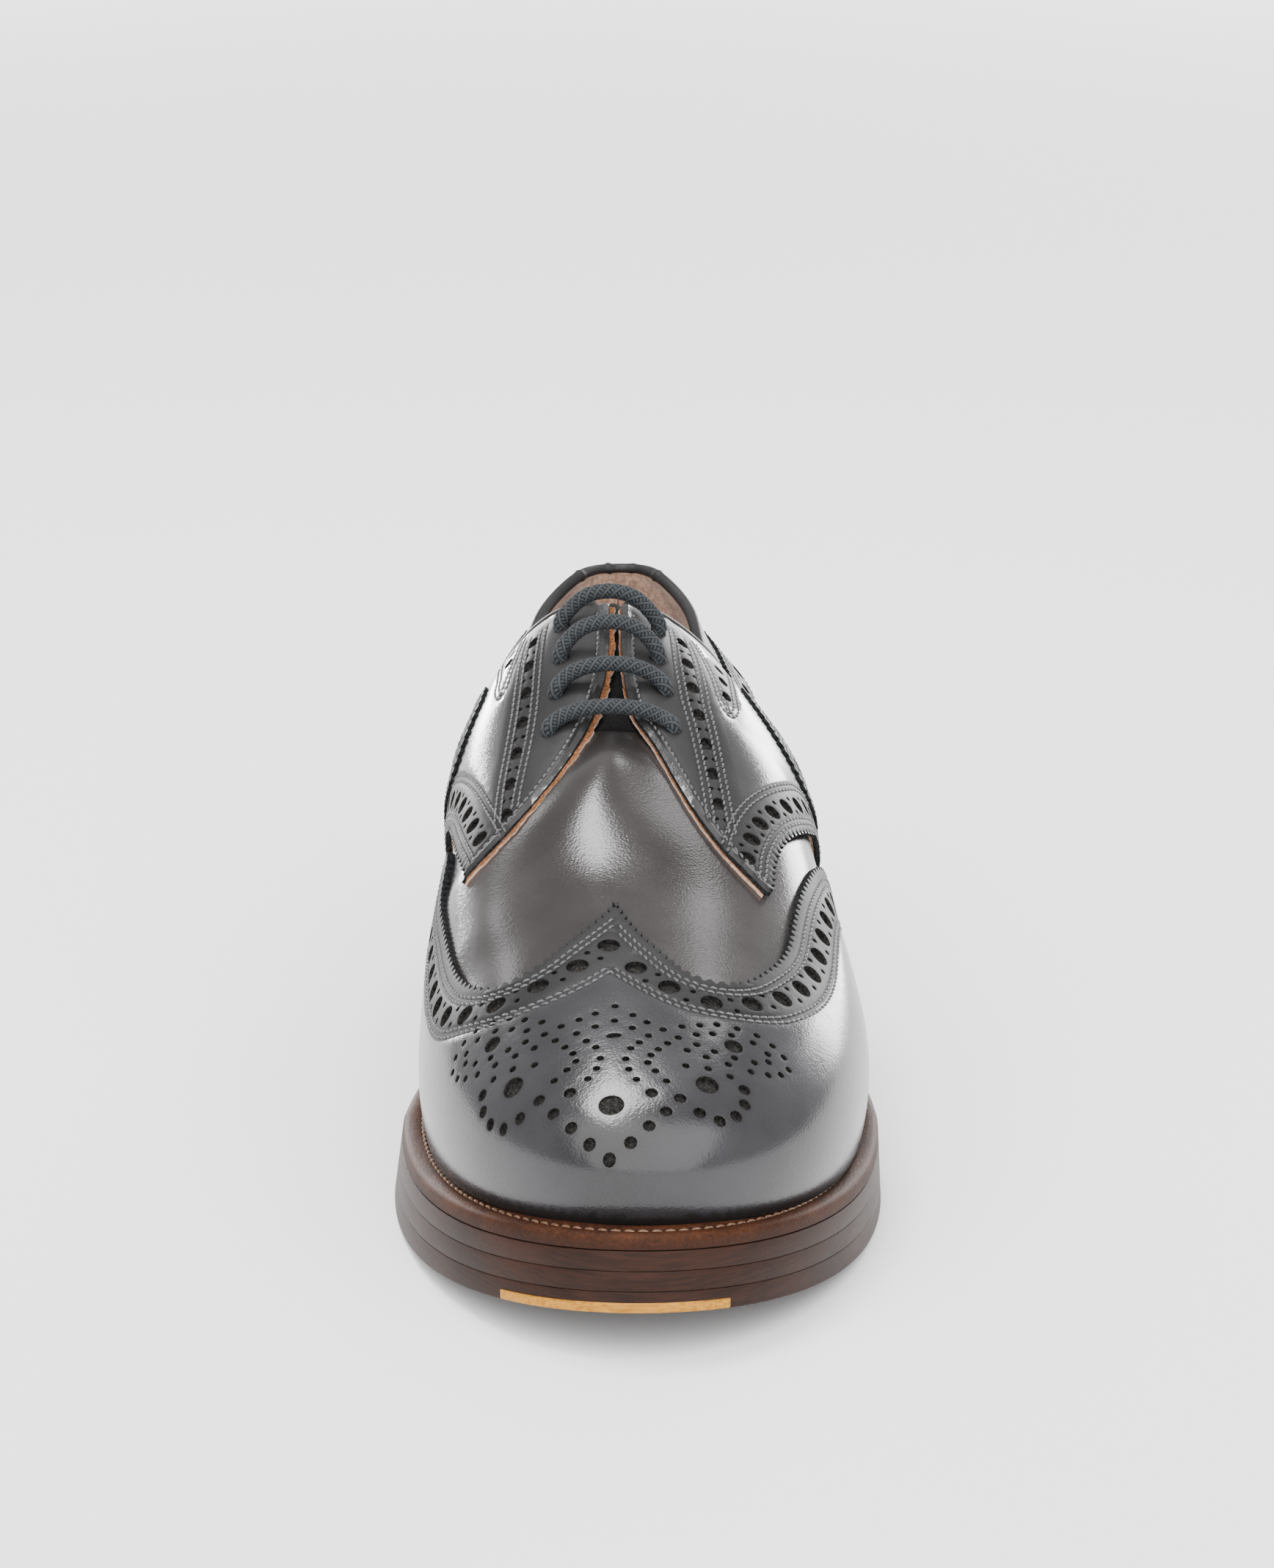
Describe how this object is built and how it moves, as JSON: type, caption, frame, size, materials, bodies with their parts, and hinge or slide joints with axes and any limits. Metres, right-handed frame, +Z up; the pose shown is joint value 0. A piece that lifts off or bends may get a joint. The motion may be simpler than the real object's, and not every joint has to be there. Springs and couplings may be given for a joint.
{
  "type": "full brogue derby shoe",
  "caption": "Left full brogue derby: pinked and punched wing cap, open facings with straight lacing, and a thick layered leather sole with a brass toe plate.",
  "frame": {"origin": "centre of the bounding box on the floor under the sole", "axes": "+Z up, +Y from the toe to the heel, +X to the shoe's lateral (outer) side"},
  "size_m": [0.111, 0.306, 0.1157],
  "materials": {
    "upper_leather": "burnished grey calf, glossy",
    "overlay_leather": "burnished dark grey calf, glossy",
    "lining_leather": "brown suede lining",
    "welt_leather": "reddish tan, stitched",
    "sole_leather": "dark brown burnished edge",
    "heel_rubber": "matte black",
    "brass": "satin",
    "lace_fabric": "round slate-grey braid"
  },
  "bodies": {
    "root": {"upper": "upper_leather", "tongue": "upper_leather", "wing_cap": "overlay_leather", "quarter_lateral": "overlay_leather", "quarter_medial": "overlay_leather", "counter": "overlay_leather", "insole": "lining_leather", "welt": "welt_leather", "midsole_upper": "sole_leather", "midsole_lower": "sole_leather", "outsole": "sole_leather", "heel_stack": "sole_leather", "heel_top_piece": "heel_rubber", "toe_plate": "brass", "lace_bar_1": "lace_fabric", "lace_bar_2": "lace_fabric", "lace_bar_3": "lace_fabric", "lace_bar_4": "lace_fabric"}
  },
  "joints": []
}
